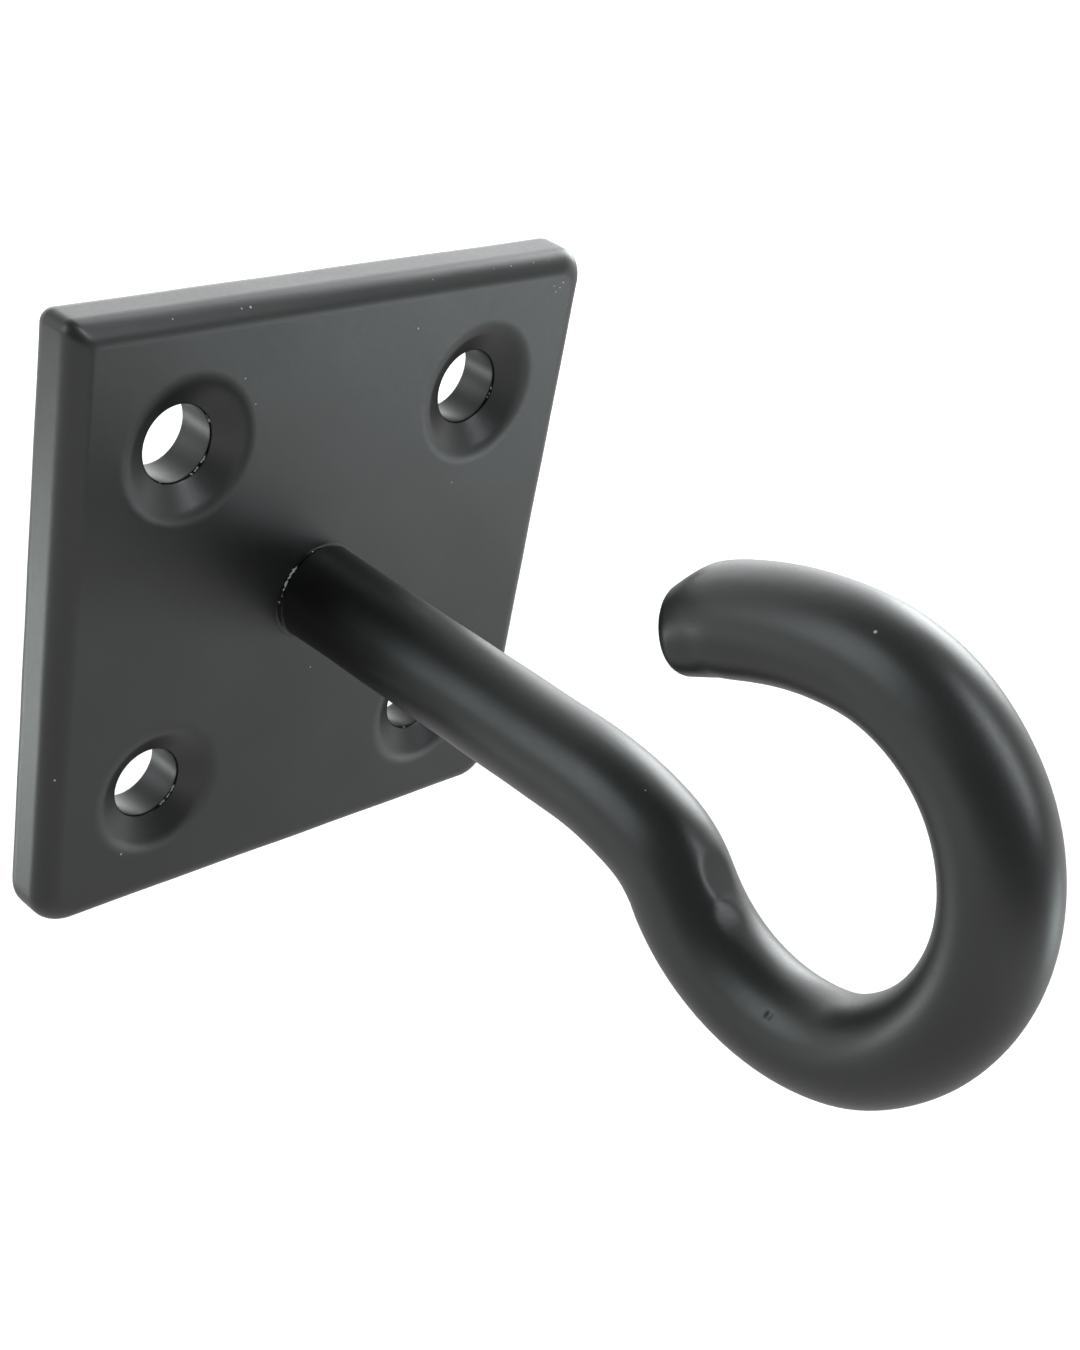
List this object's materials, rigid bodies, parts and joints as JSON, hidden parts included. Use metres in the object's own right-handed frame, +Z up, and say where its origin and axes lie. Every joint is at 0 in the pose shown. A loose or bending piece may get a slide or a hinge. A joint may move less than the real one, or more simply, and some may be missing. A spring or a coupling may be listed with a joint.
{
  "type": "plate hook",
  "caption": "Open hook bent from round steel rod and riveted square to a wall plate with countersunk screw holes, for hanging baskets, lanterns or chains.",
  "frame": {"origin": "middle of the plate's back face, which lies on the wall and holds the flush end of the rivet", "axes": "+Y into the wall and square to it, -Y out along the hook's shank, +Z up, the hook opening upwards, +X to the right of someone who faces the wall"},
  "size_m": [0.05, 0.0738, 0.05],
  "materials": {
    "black_coat": "satin black coat over steel"
  },
  "bodies": {
    "root": {"plate": "black_coat", "hook": "black_coat"}
  },
  "joints": []
}
